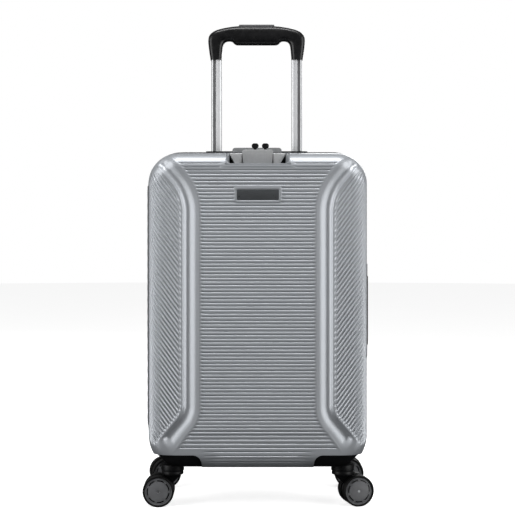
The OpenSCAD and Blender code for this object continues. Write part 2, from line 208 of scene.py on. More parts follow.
def material(name, colour, rough=0.5, metal=0.0, vary=0.08, vary_scale=60, rough_vary=0.08,
             bump=0.0, bump_scale=900, coat=0.0, weave=None, brushed=None, sheen=0.0, specular=0.5,
             coat_rough=0.1):
    """A procedural finish: colour and roughness that vary, with grain, weave or brushing as bump."""
    mat = bpy.data.materials.new(name)
    mat.use_nodes = True
    tree = mat.node_tree
    shader = tree.nodes["Principled BSDF"]
    for key, value in (("Metallic", metal), ("Coat Weight", coat), ("Coat Roughness", coat_rough),
                       ("Sheen Weight", sheen), ("Specular IOR Level", specular)):
        shader.inputs[key].default_value = value
    place = add_node(tree, "TexCoord", {}).outputs["Object"]
    tint = varied_colour(tree, place, colour, vary, vary_scale)
    tree.links.new(tint, shader.inputs["Base Color"])
    tree.links.new(varied_gloss(tree, place, rough, rough_vary, vary_scale), shader.inputs["Roughness"])

    height = None
    if weave:
        height = weave_height(tree, place, weave)
        # painted shade: the weave darkens the colour between its threads
        tree.links.new(weave_shaded_colour(tree, tint, height), shader.inputs["Base Color"])
    elif brushed:
        stretch = add_node(tree, "Mapping", {"Scale": brushed, "Vector": place}).outputs["Vector"]
        height = noise(tree, stretch, 1, 4)
    elif bump:
        height = noise(tree, place, bump_scale, 3)
    if height is not None and bump:
        inputs = {"Strength": bump, "Distance": 0.2 * MM, "Height": height}
        tree.links.new(add_node(tree, "Bump", inputs).outputs["Normal"], shader.inputs["Normal"])
    return mat


def noise(tree, place, scale, detail):
    """Noise between 0 and 1."""
    return add_node(tree, "TexNoise", {"Scale": scale, "Detail": detail, "Vector": place}).outputs["Fac"]


def varied_colour(tree, place, colour, vary, scale):
    """The colour, a share darker and lighter in soft patches."""
    tint = add_node(tree, "ValToRGB", {"Fac": noise(tree, place, scale, 6)})
    low, high = tint.color_ramp.elements
    low.position, high.position = 0.3, 0.7
    low.color = [c * (1 - vary) for c in colour] + [1]
    high.color = [min(c * (1 + vary), 1) for c in colour] + [1]
    return tint.outputs["Color"]


def varied_gloss(tree, place, rough, vary, scale):
    """The roughness, a little more and less in finer patches than the colour's."""
    inputs = {"From Min": 0.3, "From Max": 0.7, "To Min": rough - vary, "To Max": rough + vary,
              "Value": noise(tree, place, scale * 4, 8)}
    return add_node(tree, "MapRange", inputs).outputs["Result"]


def weave_shaded_colour(tree, tint, height):
    """The colour with painted shade between the threads: darker where the weave is low."""
    ramp = add_node(tree, "ValToRGB", {"Fac": height})
    ramp.color_ramp.elements[0].color = (0.35, 0.35, 0.35, 1)
    inputs = {"Factor": 0.6, "A": tint, "B": ramp.outputs["Color"]}
    return add_node(tree, "Mix", inputs, data_type="RGBA", blend_type="MULTIPLY").outputs["Result"]


def weave_height(tree, place, threads):
    """Plain weave of two crossed sets of threads. A metre holds threads / (2 pi) of them."""
    x, y, z = [add_node(tree, "TexWave", {"Scale": threads / 20, "Distortion": 0.4, "Detail": 1,
                                          "Vector": place}, bands_direction=axis).outputs["Fac"]
               for axis in ("X", "Y", "Z")]
    front = add_node(tree, "Math", {0: x, 1: z}, operation="MULTIPLY").outputs[0]
    side = add_node(tree, "Math", {0: y, 1: z}, operation="MULTIPLY").outputs[0]
    return add_node(tree, "Math", {0: front, 1: side}, operation="MAXIMUM").outputs[0]


SHELL = material("shell_silver", (0.325, 0.341, 0.363), rough=0.42, metal=0.45, vary=0.03, vary_scale=900,
                 rough_vary=0.05, bump=0.02, bump_scale=2500, coat=0.3, coat_rough=0.2)
BLACK = material("black_plastic", (0.005, 0.005, 0.0055), rough=0.42, vary=0.25, vary_scale=40,
                 bump=0.08, bump_scale=1600, specular=0.15)
SATIN = material("satin_black", (0.004, 0.004, 0.0045), rough=0.3, vary=0.2, vary_scale=35,
                 bump=0.03, bump_scale=2000, specular=0.3)
BUTTON = material("button_grey", (0.06, 0.06, 0.063), rough=0.5, vary=0.15, bump=0.15, bump_scale=1800)
ALUMINIUM = material("drawn_aluminium", (0.33, 0.333, 0.34), rough=0.33, metal=0.92, vary=0.02,
                     rough_vary=0.03, vary_scale=25)
LOCK = material("lock_grey", (0.37, 0.375, 0.38), rough=0.38, metal=0.45, vary=0.05, vary_scale=300,
                bump=0.08, bump_scale=2200, coat=0.1)
# painted light: a lighter copy of the lock grey for the lock's tray, standing in for the light on its wings
LOCK_TRAY_LIT = material("lock_tray_lit_grey", (0.43, 0.435, 0.44), rough=0.42, metal=0.35, vary=0.05, vary_scale=300,
                     bump=0.08, bump_scale=2200, coat=0.1)
HANDLE = material("handle_grey", (0.20, 0.205, 0.21), rough=0.45, metal=0.2, vary=0.08, vary_scale=200,
                  bump=0.1, bump_scale=1800)
TAPE = material("zip_tape", (0.03, 0.03, 0.034), rough=0.8, vary=0.2, weave=1400, bump=0.7, sheen=0.3)
MESH = material("mesh_cloth", (0.03, 0.032, 0.036), rough=0.8, vary=0.15, vary_scale=25, weave=420, bump=0.9,
                sheen=0.2)
LINING = material("lining_cloth", (0.05, 0.055, 0.067), rough=0.75, vary=0.18, vary_scale=18,
                  weave=700, bump=0.6, sheen=0.12)
HUB = material("hub_grey", (0.105, 0.107, 0.112), rough=0.4, vary=0.12, vary_scale=90,
               bump=0.08, bump_scale=1500)
TYRE = material("tyre_black", (0.003, 0.003, 0.003), rough=0.5, specular=0.14, vary=0.3, vary_scale=120,
                bump=0.1, bump_scale=1200)
STEEL = material("turned_steel", (0.5, 0.51, 0.52), rough=0.3, metal=1.0, vary=0.06, bump=0.15,
                 brushed=(1500, 1500, 1500))
PLATE = material("plate_dark", (0.075, 0.08, 0.085), rough=0.34, metal=0.5, vary=0.05, bump=0.02,
                 brushed=(30, 900, 1500))
SOFT = material("soft_black", (0.016, 0.016, 0.017), rough=0.6, vary=0.2, vary_scale=70,
                bump=0.25, bump_scale=1400)
DIAL = material("dial_black", (0.02, 0.02, 0.021), rough=0.4, vary=0.15, bump=0.08)


# ---------------------------------------------------------------- the shells' relief

FLUTE_X = 105.5                       # all lengths in this section are millimetres
FLUTE_HALF = 13.5
FLUTE_DEPTH = 5.0
BEND_ANGLE = radians(40)
TOP_BEND = (470.0, 84.0, 42.0)        # where it starts, its radius, and the straight after it
BOTTOM_BEND = (165.0, 46.0, 40.0)
RIB_PITCH = 5.65
RIB_DEPTH = 1.35
RIB_TOP = 551.0
RIB_BOTTOM = 57.0
SLANT = tan(radians(54))
SLANT_PITCH = 8.9
HOUSING_X, HOUSING_Z, HOUSING_Y = 89.0, 86.0, 44.0
NOTCH_HALF, NOTCH_LOW = 51.5, 545.0
PLATE_SIZE = (67.0, 17.0)
PLATE_Z = 497.5


def across_flute(u, v):
    """Distance across the flute's middle line, positive outwards, and how far past the bend's end."""
    w = u - FLUTE_X
    past = np.full_like(u, -100.0)
    for sign, (start, radius, straight) in ((1, TOP_BEND), (-1, BOTTOM_BEND)):
        rise = sign * (v - start)
        side = FLUTE_X + radius - u
        angle = np.arctan2(rise, side)
        bending = (rise > 0) & (angle < BEND_ANGLE)
        w = np.where(bending, radius - np.hypot(rise, side), w)
        end_x = FLUTE_X + radius * (1 - cos(BEND_ANGLE))
        end_z = radius * sin(BEND_ANGLE)
        beyond = (rise > 0) & (angle >= BEND_ANGLE)
        slant_w = (u - end_x) * cos(BEND_ANGLE) - (rise - end_z) * sin(BEND_ANGLE)
        slant_t = (u - end_x) * sin(BEND_ANGLE) + (rise - end_z) * cos(BEND_ANGLE)
        w = np.where(beyond, slant_w, w)
        past = np.where(beyond, slant_t - straight, past)
    return w, past


def groove(phase, half_width):
    """A row of round grooves, 1 at the middle of each."""
    q = np.abs(phase - np.floor(phase) - 0.8)
    q = np.minimum(q, 1 - q)
    return np.where(q < half_width, 0.5 + 0.5 * np.cos(pi * q / half_width), 0)


def relief(u, v, x, y, z, has_notch):
    """How far the outer surface moves along its normal. u and v unroll the shell flat."""
    far_u = np.abs(u)
    w, past = across_flute(far_u, v)
    fade = 1 - smooth(past, -9, 4)
    share = np.clip((w + FLUTE_HALF) / (2 * FLUTE_HALF), 0, 1)
    valley = np.sin(pi * share ** 1.8) ** 1.2
    depth = -0.4 - FLUTE_DEPTH * valley * fade
    for lip in (-FLUTE_HALF, FLUTE_HALF):
        depth += 0.4 * np.exp(-((w - lip) / 1.6) ** 2) * fade

    clear_x = np.maximum(HOUSING_X - np.abs(x), 0)
    clear_z = np.maximum(z - HOUSING_Z, 0)
    clear_y = np.maximum(HOUSING_Y - np.abs(y), 0)
    margin = smooth(np.sqrt(clear_x ** 2 + clear_z ** 2 + clear_y ** 2), 11, 15)

    inside = smooth(-w - FLUTE_HALF, 1.5, 4.5)
    ribs = inside * margin * smooth(v, RIB_BOTTOM - 1, RIB_BOTTOM + 1) * (1 - smooth(v, RIB_TOP, RIB_TOP + 1))
    if has_notch:
        notch = np.hypot(np.maximum(np.abs(x) - NOTCH_HALF, 0), np.maximum(NOTCH_LOW - z, 0))
        ribs *= smooth(notch, 5, 11)
        plate_x = np.abs(x) - PLATE_SIZE[0] / 2
        plate_z = np.abs(z - PLATE_Z) - PLATE_SIZE[1] / 2
        plate = np.hypot(np.maximum(plate_x, 0), np.maximum(plate_z, 0))
        ribs *= smooth(plate, 3.6, 5.0)
        depth += 0.4 * (1 - smooth(plate, 3.4, 4.6)) + 0.4 * (1 - smooth(notch, 2.5, 4.5))
        depth -= 1.9 * (1 - smooth(np.maximum(plate_x, plate_z), -0.6, 0.1))
    phase = (v - RIB_BOTTOM) / RIB_PITCH
    depth -= RIB_DEPTH * groove(phase, 0.21) * ribs

    outside = smooth(w - FLUTE_HALF, 2.0, 5.5)
    slants = outside * smooth(v, 100, 112) * (1 - smooth(v, 522, 538))
    slants *= 1 - smooth(-y, -14, -10)
    wave = 0.5 - 0.5 * np.cos(2 * pi * (v - SLANT * far_u) / SLANT_PITCH)
    depth -= 2.0 * wave ** 1.3 * slants
    return depth


# ---------------------------------------------------------------- shell meshes

def core_columns():
    """Places across the core: wide steps on the panel, narrow ones over the flutes."""
    middle = np.linspace(-84, 84, 22)
    outer = np.arange(84 + 1.3, CORE_X / MM, 1.3)
    outer = np.append(outer[outer < CORE_X / MM - 0.6], CORE_X / MM)
    plate = PLATE_SIZE[0] / 2
    plate_edges = np.array([plate - 0.6, plate, plate + 0.4, plate + 3.4, plate + 4.2, plate + 5.0])
    notch_edges = NOTCH_HALF + np.array([2, 4.5, 7, 10])
    columns = np.concatenate([-outer[::-1], middle, outer, plate_edges, -plate_edges,
                              notch_edges, -notch_edges])
    return np.unique(np.round(columns, 3))


def core_rows():
    """Heights up the core, with six to each rib so that every groove is the same."""
    low, high = (MID_Z - CORE_Z) / MM, (MID_Z + CORE_Z) / MM
    ribs = np.arange(-1, 110)[:, None] + np.array([0, 0.3, 0.59, 0.69, 0.8, 0.91])[None]
    rows = RIB_BOTTOM + RIB_PITCH * ribs.ravel()
    rows = rows[(rows > low + 0.4) & (rows < high - 0.4)]
    return np.concatenate([[low], rows, [high]])


def profile(s, inset=0.0):
    """Outward reach, depth and normal of the shell's section at distance s from a corner's centre."""
    edge = EDGE / MM - inset
    depth = HALF_DEPTH / MM - inset
    flat = FLAT / MM
    arc = (EDGE / MM) * pi / 2
    bend = np.clip((s - flat) / (EDGE / MM), 0, pi / 2)
    wall_length = hypot(DRAFT / MM, (HALF_DEPTH - EDGE) / MM)
    down = np.maximum(s - flat - arc, 0) / wall_length
    reach = np.minimum(s, flat) + edge * np.sin(bend) + DRAFT / MM * down
    deep = depth - edge + edge * np.cos(bend) - (depth - edge) * down
    lean = np.where(down > 0, DRAFT / (HALF_DEPTH - EDGE), 0)
    return reach, deep, np.sin(bend), np.cos(bend) + lean


def section_steps():
    """Distances along the section from the corner's centre to the rim."""
    arc_end = (FLAT + EDGE * pi / 2) / MM
    wall = hypot(DRAFT / MM, (HALF_DEPTH - EDGE) / MM) * (HALF_DEPTH - EDGE - RIM) / (HALF_DEPTH - EDGE)
    near = np.linspace(0, arc_end, 88)
    side = np.linspace(arc_end, arc_end + wall, 60)
    return np.concatenate([near, side[1:]])


def perimeter(columns, rows, turns):
    """Base points and outward directions round the core, and the core's own index of each."""
    nx, nz = len(columns), len(rows)
    base, way, core = [], [], []

    def side(points, index, direction):
        for p, i in zip(points, index):
            base.append(p)
            way.append(direction)
            core.append(i)

    def corner(point, index, start):
        for k in range(1, turns):
            a = start + pi / 2 * k / turns
            base.append(point)
            way.append((cos(a), sin(a)))
            core.append(index)

    grid = np.arange(nx * nz).reshape(nz, nx)
    low_x, high_x, low_z, high_z = columns[0], columns[-1], rows[0], rows[-1]
    side([(high_x, z) for z in rows], grid[:, -1], (1, 0))
    corner((high_x, high_z), grid[-1, -1], 0)
    side([(x, high_z) for x in columns[::-1]], grid[-1, ::-1], (0, 1))
    corner((low_x, high_z), grid[-1, 0], pi / 2)
    side([(low_x, z) for z in rows[::-1]], grid[::-1, 0], (-1, 0))
    corner((low_x, low_z), grid[0, 0], pi)
    side([(x, low_z) for x in columns], grid[0], (0, -1))
    corner((high_x, low_z), grid[0, -1], 1.5 * pi)
    return np.array(base), np.array(way, dtype=float), np.array(core)


def drop_bottom(points):
    """Brings the bottom wall down towards the face, where the shell has next to no draft."""
    y, z = points[:, 1], points[:, 2]
    low = 1 - smooth(z, (MID_Z - CORE_Z) / MM - 38, (MID_Z - CORE_Z) / MM + 8)
    points[:, 2] -= 5.0 * low * smooth(np.abs(y), RIM / MM, 85)
    return points


def shell_mesh(end, has_notch):
    """Vertices and faces of one closed shell half. end is -1 in front and 1 at the back."""
    columns, rows = core_columns(), core_rows()
    base, way, core = perimeter(columns, rows, 60)
    s = section_steps()
    count, steps = len(base), len(s)

    xs, zs = np.meshgrid(columns, rows)
    u, v = xs.ravel(), zs.ravel()
    y = np.full_like(u, HALF_DEPTH / MM)
    lift = relief(u, v, u, y, v, has_notch)
    core_points = np.stack([u, end * (y + lift), v], axis=1)

    reach, deep, out, up = profile(s[1:])
    x = base[:, 0, None] + way[:, 0, None] * reach
    z = base[:, 1, None] + way[:, 1, None] * reach
    y = np.broadcast_to(deep, x.shape)
    ring_u = base[:, 0, None] + way[:, 0, None] * s[1:]
    ring_v = base[:, 1, None] + way[:, 1, None] * s[1:]
    lift = relief(ring_u, ring_v, x, y, z, has_notch)
    ring = np.stack([
        x + lift * out * way[:, 0, None],
        end * (y + lift * up),
        z + lift * out * way[:, 1, None]], axis=2)

    first = len(core_points)
    index = first + np.arange(count * (steps - 1)).reshape(count, steps - 1)
    index = np.concatenate([core[:, None], index], axis=1)
    quads = ring_faces(index)
    quads_core = grid_faces(np.arange(xs.size).reshape(xs.shape))

    # the inner face follows the same section, drawn in by CORE_DROP, and closes in one flat face
    inner_s = np.array([s[-1], (FLAT + EDGE * pi / 2) / MM] + [
        (FLAT + EDGE * a * pi / 12) / MM for a in (5, 4, 3, 2, 1, 0)])
    reach, deep, out, up = profile(inner_s)
    reach, deep = reach - CORE_DROP / MM * out, deep - CORE_DROP / MM * up
    deep[0] = RIM / MM
    reach[0] = profile(s[-1:])[0][0] - WALL / MM
    inner = np.stack([
        base[:, 0, None] + way[:, 0, None] * reach,
        end * np.broadcast_to(deep, (count, len(reach))),
        base[:, 1, None] + way[:, 1, None] * reach], axis=2)
    inner_index = index[-1, -1] + 1 + np.arange(count * len(reach)).reshape(count, len(reach))
    chain = np.concatenate([index[:, -1:], inner_index], axis=1)
    walls = ring_faces(chain)

    outer = drop_bottom(np.concatenate([core_points, ring.reshape(-1, 3)]))
    points = np.concatenate([outer, inner.reshape(-1, 3)]) * MM
    faces = [tuple(dict.fromkeys(f)) for f in np.concatenate([quads_core, quads, walls]).tolist()]
    faces.append(tuple(inner_index[:, -1].tolist()[::-1]))
    if end > 0:
        faces = [f[::-1] for f in faces]
    return points, [f for f in faces if len(f) > 2]


def housing_cutter(side, end, grow=0.0004):
    """The corner that a wheel housing takes out of a shell, as a prism with one round edge."""
    x0, top, r = HOUSING_X * MM - grow, HOUSING_Z * MM + grow, 14 * MM + grow
    outline = [(x0, 0.02)]
    outline += [(x0 + r - r * cos(pi / 2 * k / 10), top - r + r * sin(pi / 2 * k / 10)) for k in range(11)]
    outline += [(HALF_W + 0.02, top), (HALF_W + 0.02, 0.02)]
    bm = bmesh.new()
    near, far = HOUSING_Y * MM - grow, HALF_DEPTH + 0.02
    rings = [[bm.verts.new((side * x, end * y, z)) for x, z in outline] for y in (near, far)]
    bridge(bm, rings)
    bm.faces.new(rings[0])
    bm.faces.new(rings[1][::-1])
    return closed_object("cutter", bm)


def make_shell(name, end, body, extra):
    """One shell half, with its housings' corners and the extra cutters taken out."""
    points, faces = shell_mesh(end, end < 0)
    shell = new_object(f"{name}_visual", points, faces, SHELL, body, 50)
    cut(shell, [housing_cutter(side, end) for side in (-1, 1)] + extra)
    finish_piece(shell, SHELL, body, 50)
    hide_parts(name)


def face_depth(z):
    """How far out the front shell reaches at a height above the top edge's start, in metres."""
    edge_low = MID_Z + HALF_H - DRAFT - EDGE
    rise = min(max(z - edge_low, 0), EDGE)
    return HALF_DEPTH - EDGE + (EDGE ** 2 - rise ** 2) ** 0.5


def notch_path(half, floor, radius, top):
    """The notch's outline from its top left round to its top right, as x and z."""
    points = [(-half, z) for z in np.linspace(top, floor + radius, 14)]
    points += [(-half + radius - radius * cos(a), floor + radius - radius * sin(a))
               for a in np.linspace(0, pi / 2, 9)[1:]]
    points += [(x, floor) for x in np.linspace(-half + radius, 0, 8)[1:]]
    return points + [(-x, z) for x, z in points[-2::-1]]


LIP = 1.5 * MM                        # radius of the rounded lip round the notch


def make_notch_trim():
    """The notch's slanting side walls and floor edge, and the raised lip round its mouth."""
    half, floor = NOTCH_HALF * MM, NOTCH_LOW * MM
    bm = bmesh.new()
    sections = []
    stations = ((114.2, 50.6, 0.2, 6.5), (113.4, 50.0, 0.9, 6.5), (100, 49.2, 1.2, 6), (85, 48.0, 1.4, 5.5),
                (67, 46.4, 1.5, 5))
    for depth, inner_half, lift, radius in stations:
        top = MID_Z + HALF_H - DRAFT - EDGE + (EDGE ** 2 - max(depth * MM - HALF_DEPTH + EDGE, 0) ** 2) ** 0.5
        top = max(top - 0.6 * MM, floor + 8 * MM)
        path = notch_path(inner_half * MM, floor + lift * MM, radius * MM, top)
        sections.append([bm.verts.new((x, -depth * MM, z)) for x, z in path])
    bridge(bm, sections, closed=False)
    wall = from_bmesh("notch_wall", bm, SHELL, "front_case", 50)
    thicken(wall, 1.0 * MM, SHELL, "front_case", smooth_angle=50)

    path = notch_path(half - 0.3 * MM, floor + 0.2 * MM, 6.5 * MM, MID_Z + HALF_H - DRAFT - 3 * MM)
    points = [Vector((x, -face_depth(z) + LIP, z)) for x, z in path]
    bm = bmesh.new()
    rings = []
    for k, point in enumerate(points):
        along = (points[min(k + 1, len(points) - 1)] - points[max(k - 1, 0)]).normalized()
        out = Vector((0, -1, 0)) - along * along.dot(Vector((0, -1, 0)))
        out.normalize()
        side = along.cross(out)
        rings.append([bm.verts.new(point + (out * sin(a) + side * cos(a)) * LIP)
                      for a in np.linspace(0, 2 * pi, 13)[:-1]])
    bridge(bm, rings, capped=True)
    from_bmesh("notch_lip", bm, SHELL, "front_case", 60)


make_notch_trim()
tray_low, tray_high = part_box("handle_tray")
notch_box = box_mesh((-NOTCH_HALF * MM, -HALF_DEPTH - 0.01, NOTCH_LOW * MM), (NOTCH_HALF * MM, -9 * MM, 0.7))
notch_cut = closed_object("cutter", notch_box)
make_shell("front_shell", -1, "front_case", [notch_cut])
tray_box = box_mesh((tray_low[0] + 1.2 * MM, tray_low[1] + 2.1 * MM, 0.45),
                    (tray_high[0] - 1.2 * MM, tray_high[1] - 2.1 * MM, 0.7))
tray_cut = closed_object("cutter", tray_box)
make_shell("rear_shell", 1, "rear_case", [tray_cut])

# ---------------------------------------------------------------- moulded parts with soft edges

def node_bmesh(node):
    """A copy of a CAD node's shape in the scene's frame, with its flat faces joined up."""
    bm = bmesh.new()
    bm.from_mesh(nodes[node].data)
    bm.transform(nodes[node].matrix_world)
    bmesh.ops.remove_doubles(bm, verts=bm.verts, dist=0.01 * MM)
    bmesh.ops.dissolve_limit(bm, angle_limit=radians(1.5), verts=bm.verts, edges=bm.edges)
    return bm


def soften(node, radius, finish, steps=3, crease=35, reshape=None):
    """Replaces a moulded node by the same shape with rounded edges. reshape may move its points first."""
    bm = node_bmesh(node)
    for v in bm.verts:
        if reshape:
            v.co = reshape(v.co)
    sharp = [e for e in bm.edges if len(e.link_faces) == 2 and e.calc_face_angle(0) > radians(crease)]
    bmesh.ops.bevel(bm, geom=sharp, offset=radius * MM, segments=steps, profile=0.5,
                    affect="EDGES", clamp_overlap=True)
    piece = from_bmesh(f"{node}_moulded", bm, finish, body_of[node], 50)
    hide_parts(node)
    return piece


def proud_mount(point):
    """Draws the outer face of a side handle mount out to a soft cap beyond the rim."""
    if point.x < HALF_W - 1.5 * MM:
        return point
    return Vector((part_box("side_handle")[1][0] - 1.0 * MM, point.y, point.z))


slot_of = {p["node"]: p["material_slot"] for p in frame["record"]["subparts"]}
body_of = {n: body for body, names in frame["record"]["behaviour"]["bodies"].items() for n in names}
CORNERS = ("front_left", "front_right", "rear_left", "rear_right")

GRIP_SIDES = 56                       # points round the grip's section
GRIP_HALF = (                         # outer and inner points of the grip's left half, from the leg up
    (-80.0, 737.0, -60.3, 737.0), (-82.0, 750.0, -59.3, 750.0), (-83.5, 762.0, -58.2, 760.0),
    (-84.0, 770.5, -56.6, 765.0), (-82.6, 778.3, -54.0, 767.8), (-78.0, 784.0, -51.5, 769.0),
    (-70.0, 788.6, -48.5, 769.5), (-58.0, 792.0, -45.0, 769.4), (-46.0, 794.2, -42.0, 768.4),
    (-40.0, 795.0, -38.6, 765.2), (-36.0, 795.4, -35.0, 763.1), (-30.0, 795.8, -30.0, 762.8),
    (-15.0, 796.0, -15.0, 762.7))


def spline(rows, steps):
    """A smooth run through rows of numbers, with steps points to each span."""
    rows = np.array(rows, dtype=float)
    padded = np.concatenate([2 * rows[:1] - rows[1:2], rows, 2 * rows[-1:] - rows[-2:-1]])
    result = []
    for a, b, c, d in zip(padded, padded[1:], padded[2:], padded[3:]):
        for t in np.arange(steps) / steps:
            result.append(b + 0.5 * t * (c - a + t * (2 * a - 5 * b + 4 * c - d + t * (3 * (b - c) + d - a))))
    result.append(rows[-1])
    return np.array(result)


def make_grip():
    """The pull handle's grip: a round-edged arch that thickens at the elbows and in the middle."""
    low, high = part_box("grip")
    half_deep, middle_y = (high[1] - low[1]) / 2, (high[1] + low[1]) / 2
    half = list(GRIP_HALF)
    arch = half + [(0.0, 796.0, 0.0, 762.7)] + [(-a, b, -c, d) for a, b, c, d in half[::-1]]
    bm = bmesh.new()
    rings = []
    for outer_x, outer_z, inner_x, inner_z in spline(arch, 6) * MM:
        outer, inner = Vector((outer_x, 0, outer_z)), Vector((inner_x, 0, inner_z))
        middle, reach = (outer + inner) / 2, (outer - inner) / 2
        ring = []
        for k in range(GRIP_SIDES):
            a = 2 * pi * k / GRIP_SIDES
            out = np.sign(cos(a)) * abs(cos(a)) ** 0.62
            side = np.sign(sin(a)) * abs(sin(a)) ** 0.72
            point = middle + reach * out
            ring.append(bm.verts.new((point.x, middle_y + half_deep * side, max(point.z, low[2]))))
        rings.append(ring)
    bridge(bm, rings, capped=True)
    grip = from_bmesh("grip_moulded", bm, SATIN, body_of["grip"], 60)
    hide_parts("grip")


def tapered_lock(point):
    """Narrows the lock's body towards its foot."""
    low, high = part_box("lock_body")
    up = (point.z - low[2]) / (high[2] - low[2])
    return Vector((point.x * (0.93 + 0.07 * up), point.y, point.z))


def dropped_housing(point):
    """Brings a housing's floor down level with the shell's bottom wall; its boss stays where it is."""
    if point.z < HOUSING_FLOOR:
        return point
    share = float(smooth(abs(point.y), RIM, 85 * MM) * (1 - smooth(point.z, 70 * MM, 84 * MM)))
    return Vector((point.x, point.y, max(point.z - 5 * MM * share, HOUSING_FLOOR)))


HOUSING_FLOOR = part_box("front_shell")[0][2] - 0.2 * MM
for node in [f"{corner}_housing" for corner in CORNERS]:
    soften(node, 1.6, BLACK, 3, 35, dropped_housing)
for node in [f"{corner}_fork" for corner in CORNERS]:
    soften(node, 0.9, BLACK, 2)
make_grip()
soften("release_button", 1.0, BUTTON)
# the tray takes the lighter copy of the lock grey, with painted light
soften("lock_base", 0.8, LOCK_TRAY_LIT)
soften("handle_tray", 0.9, BLACK)
soften("top_handle_mounts", 0.8, BLACK)
soften("side_handle_mounts", 2.2, BLACK, 4, 35, proud_mount)
soften("nameplate", 0.6, PLATE)
soften("lock_body", 1.4, LOCK, 4, 35, tapered_lock)
soften("top_handle", 2.6, HANDLE, 4)
soften("side_handle", 1.8, SOFT, 4)
soften("left_zip_slider", 0.7, SATIN)
soften("right_zip_slider", 0.7, SATIN)
soften("lock_latch", 0.5, BUTTON)
for dial in (1, 2, 3):
    soften(f"lock_dial_{dial}", 0.3, DIAL, 2, 20)
soften("strap_buckle", 1.2, SATIN)
soften("tube_foot", 1.0, BLACK)


def centre(node):
    """The middle of a CAD node's box."""
    low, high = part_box(node)
    return Vector([(a + b) / 2 for a, b in zip(low, high)])


def lathe(profile_points, place, axis, turns, shape=None):
    """Turns (radius, along) points about an axis. shape(radius, along, angle) may move the along."""
    turn = Vector((0, 0, 1)).rotation_difference(axis).to_matrix()
    bm = bmesh.new()
    rings = []
    for radius, along in profile_points:
        ring = []
        for k in range(turns):
            angle = 2 * pi * k / turns
            lift = shape(radius, along, angle) if shape else along
            point = Vector((radius * cos(angle), radius * sin(angle), lift))
            ring.append(bm.verts.new(place + turn @ point))
        rings.append(ring)
    bridge(bm, rings)
    return bm


# ---------------------------------------------------------------- wheels

ARC_COUNT = 7                         # sunk arcs in a hub's face
HUB_SIDES = 168
TYRE_SIDES = 96


def in_arc(r, angle):
    """1 in the sunk arcs of a hub's face, r being in millimetres."""
    turn = (angle * ARC_COUNT / (2 * pi)) % 1
    band = smooth(r, 15.9, 16.4) * (1 - smooth(r, 18.2, 18.7))
    return float(band * smooth(min(turn, 1 - turn), 0.13, 0.15))


def hub_face(radius, along, angle):
    """A hub's outer face: a shallow dome with a ring of sunk arcs, ticks between them and a dimple."""
    r = radius / MM
    turn = (angle * ARC_COUNT / (2 * pi)) % 1
    from_gap = min(turn, 1 - turn)
    dome = 1.05 * (1 - (r / 19.5) ** 2)
    tick = float(smooth(r, 13.6, 14.0) * (1 - smooth(r, 19.2, 19.6)) * (1 - smooth(from_gap, 0.018, 0.032)))
    dimple = 0.7 * (1 - float(smooth(r, 1.6, 2.4)))
    rim = 0.6 * float(smooth(r, 19.4, 19.8)) * (1 - float(smooth(r, 20.6, 21.2)))
    return along + (dome - 1.0 * in_arc(r, angle) - 0.9 * tick - dimple - rim) * MM


def make_hub(corner, which, axle_way):
    """A wheel's hub, with painted shade as black faces in its sunk arcs. axle_way points to the side that
    faces away from the fork.
    """
    node = f"{corner}_hub_{which}"
    place = centre(node)
    radii = [0.3, 1.2, 1.7, 2.2, 3, 5, 7, 9, 11, 12.6, 13.6, 14.1, 15, 15.9, 16.2, 16.5, 17.3, 18.1, 18.4,
             18.7, 19.2, 19.6, 20, 20.6, 21.0, 21.3]
    points = [(r * MM, 4.9 * MM) for r in radii]
    bm = lathe(points, place, axle_way, HUB_SIDES, hub_face)
    back = [(21.8, 4.3), (21.8, -5.4), (21.2, -6.0), (9.0, -6.0), (8.4, -5.2), (3.0, -5.2)]
    other = lathe([(r * MM, a * MM) for r, a in back], place, axle_way, HUB_SIDES)
    loose = bpy.data.meshes.new("loose")
    other.to_mesh(loose)
    other.free()
    bm.from_mesh(loose)
    bmesh.ops.remove_doubles(bm, verts=bm.verts, dist=0.02 * MM)
    edge = [e for e in bm.edges if e.is_boundary]
    bmesh.ops.bridge_loops(bm, edges=[e for e in edge if (e.verts[0].co - place).length > 20 * MM])
    bmesh.ops.holes_fill(bm, edges=[e for e in bm.edges if e.is_boundary], sides=0)
    hub = from_bmesh(f"{corner}_hub_{which}_disc", bm, HUB, body_of[node], 30)
    # painted shade: the faces in the sunk arcs take black satin, standing in for the shade in these recesses
    hub.data.materials.append(SATIN)
    back_turn = Vector((0, 0, 1)).rotation_difference(axle_way).to_matrix().inverted()
    for face in hub.data.polygons:
        spot = back_turn @ (face.center - place)
        if spot.z > 3 * MM and in_arc(hypot(spot.x, spot.y) / MM, atan2(spot.y, spot.x)) > 0.5:
            face.material_index = 1
    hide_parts(node)


def make_tyre(corner, which, axle_way):
    """A wheel's tyre: round shoulders, a fine mould line in the tread and a step down to the hub."""
    node = f"{corner}_tyre_{which}"
    outline = [(21.85, -6.2), (22.3, -6.5), (23.2, -6.5)]
    outline += [(23.2 + 1.7 * sin(a), -4.8 - 1.7 * cos(a)) for a in np.linspace(0.15, pi / 2, 7)]
    outline += [(25.0, -3.2), (25.0, -0.5), (24.75, -0.2), (24.75, 0.2), (25.0, 0.5), (25.0, 3.2)]
    outline += [(23.2 + 1.7 * cos(a), 4.8 + 1.7 * sin(a)) for a in np.linspace(0, pi / 2 - 0.15, 7)]
    outline += [(23.2, 6.5), (22.3, 6.5), (21.85, 6.2), (21.85, -6.2)]
    bm = lathe([(r * MM, a * MM) for r, a in outline], centre(node), axle_way, TYRE_SIDES)
    bmesh.ops.remove_doubles(bm, verts=bm.verts, dist=0.01 * MM)
    tyre = from_bmesh(f"{corner}_tyre_{which}_ring", bm, TYRE, body_of[node], 40)
    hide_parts(node)


for corner in CORNERS:
    for which, other in (("outer", "inner"), ("inner", "outer")):
        away = (centre(f"{corner}_hub_{which}") - centre(f"{corner}_hub_{other}")).normalized()
        make_hub(corner, which, away)
        make_tyre(corner, which, away)


# ---------------------------------------------------------------- handle tubes

